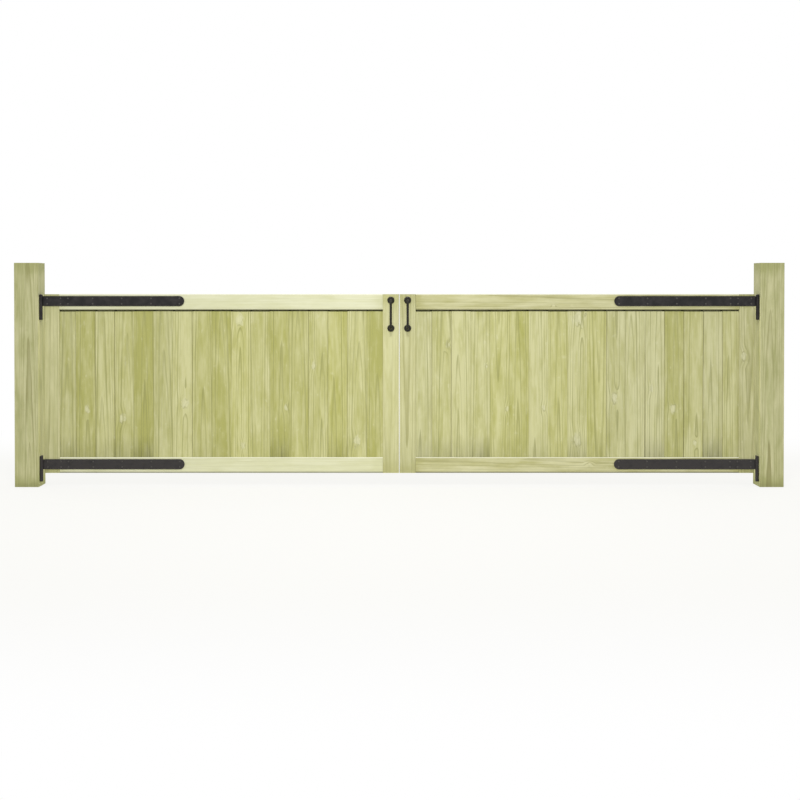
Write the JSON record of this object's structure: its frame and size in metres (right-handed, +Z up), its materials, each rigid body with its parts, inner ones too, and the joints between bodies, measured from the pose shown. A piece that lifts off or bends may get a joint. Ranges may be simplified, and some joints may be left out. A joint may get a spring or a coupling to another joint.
{
  "type": "double wooden garden gate with posts",
  "caption": "Low double garden gate: two framed leaves of upright tongued and grooved boards on long strap hinges between square posts, with pull handles where the leaves meet.",
  "frame": {"origin": "centre of the left post's foot, on the ground", "axes": "+X from the left post to the right one, -Y towards the viewer, +Z up"},
  "size_m": [3.2, 0.12, 0.933],
  "materials": {
    "post_timber": "sawn and planed pine, pressure impregnated, pale green",
    "frame_timber": "planed pine, pressure impregnated, pale green",
    "boards": "planed pine boards, pressure impregnated, olive green",
    "hinge_steel": "black powder coat, satin",
    "handle_steel": "black powder coat, satin"
  },
  "bodies": {
    "posts": {"left_post": "post_timber", "left_upper_hinge_plate": "hinge_steel", "left_lower_hinge_plate": "hinge_steel", "left_upper_hinge_pin": "hinge_steel", "left_lower_hinge_pin": "hinge_steel", "right_post": "post_timber", "right_upper_hinge_plate": "hinge_steel", "right_lower_hinge_plate": "hinge_steel", "right_upper_hinge_pin": "hinge_steel", "right_lower_hinge_pin": "hinge_steel"},
    "left_leaf": {"left_hinge_stile": "frame_timber", "left_meeting_stile": "frame_timber", "left_top_rail": "frame_timber", "left_bottom_rail": "frame_timber", "left_boards": "boards", "left_upper_hinge_strap": "hinge_steel", "left_lower_hinge_strap": "hinge_steel", "left_handle_bar": "handle_steel", "left_handle_upper_rose": "handle_steel", "left_handle_lower_rose": "handle_steel"},
    "right_leaf": {"right_hinge_stile": "frame_timber", "right_meeting_stile": "frame_timber", "right_top_rail": "frame_timber", "right_bottom_rail": "frame_timber", "right_boards": "boards", "right_upper_hinge_strap": "hinge_steel", "right_lower_hinge_strap": "hinge_steel", "right_handle_bar": "handle_steel", "right_handle_upper_rose": "handle_steel", "right_handle_lower_rose": "handle_steel"}
  },
  "joints": [
    {"name": "left_leaf_swing", "type": "hinge", "parent": "posts", "child": "left_leaf", "pos_m": [0.05708, -0.03408, 0.40125], "axis": [0, 0, -1], "range_deg": [0, 90]},
    {"name": "right_leaf_swing", "type": "hinge", "parent": "posts", "child": "right_leaf", "pos_m": [3.04292, -0.03408, 0.40125], "axis": [0, 0, 1], "range_deg": [0, 90]}
  ]
}
